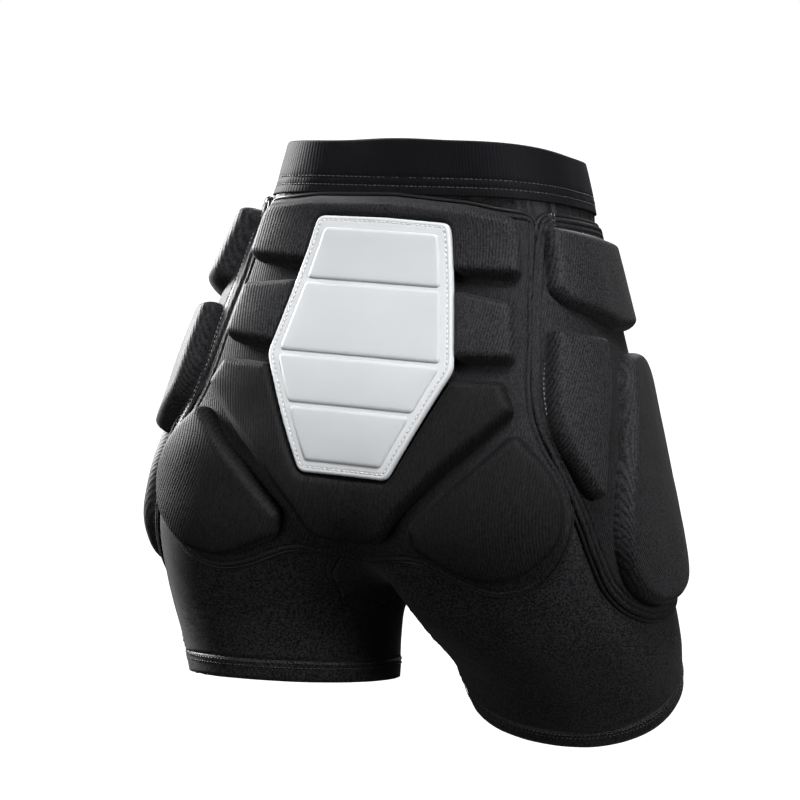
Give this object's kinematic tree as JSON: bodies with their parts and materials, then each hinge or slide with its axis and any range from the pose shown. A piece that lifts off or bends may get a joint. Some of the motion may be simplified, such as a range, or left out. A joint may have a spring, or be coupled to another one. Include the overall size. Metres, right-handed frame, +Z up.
{
  "type": "padded impact shorts",
  "caption": "Stretch shorts with foam impact pads on protective back and side boards, a segmented tail shield and a wide elastic waistband.",
  "frame": {"origin": "centre of the bottom face of the bounding box, level with the lowest point of the right leg hem", "axes": "+X the wearer's right, +Y the wearer's front, +Z up"},
  "size_m": [0.3976, 0.2978, 0.4456],
  "materials": {
    "waist_elastic": "knitted elastic, fine ribs",
    "mesh_fabric": "open mesh",
    "lining_fabric": "soft mesh lining",
    "stretch_fabric": "smooth stretch knit with a soft sheen",
    "board_fabric": "foam-backed knit",
    "pad_fabric": "fine ribbed knit over moulded foam",
    "piping": "folded binding",
    "foam": "closed-cell foam",
    "shield_cover": "matte flexible sheet",
    "shield_panel": "matte moulded panels"
  },
  "bodies": {
    "root": {"waistband": "waist_elastic", "yoke": "mesh_fabric", "seat_lining": "lining_fabric", "crotch_gusset": "stretch_fabric", "right_leg_panel": "stretch_fabric", "left_leg_panel": "stretch_fabric", "right_leg_hem": "stretch_fabric", "left_leg_hem": "stretch_fabric", "back_board": "board_fabric", "back_board_piping": "piping", "upper_back_pad": "pad_fabric", "right_mid_back_pad": "pad_fabric", "left_mid_back_pad": "pad_fabric", "tail_pad": "pad_fabric", "right_buttock_pad": "pad_fabric", "left_buttock_pad": "pad_fabric", "shield_base": "foam", "shield_cover": "shield_cover", "shield_panel_1": "shield_panel", "shield_panel_2": "shield_panel", "shield_panel_3": "shield_panel", "shield_panel_4": "shield_panel", "right_side_board": "board_fabric", "left_side_board": "board_fabric", "right_side_piping": "piping", "left_side_piping": "piping", "right_upper_hip_pad": "pad_fabric", "left_upper_hip_pad": "pad_fabric", "right_rear_hip_pad": "pad_fabric", "left_rear_hip_pad": "pad_fabric", "right_thigh_pad": "pad_fabric", "left_thigh_pad": "pad_fabric"}
  },
  "joints": []
}
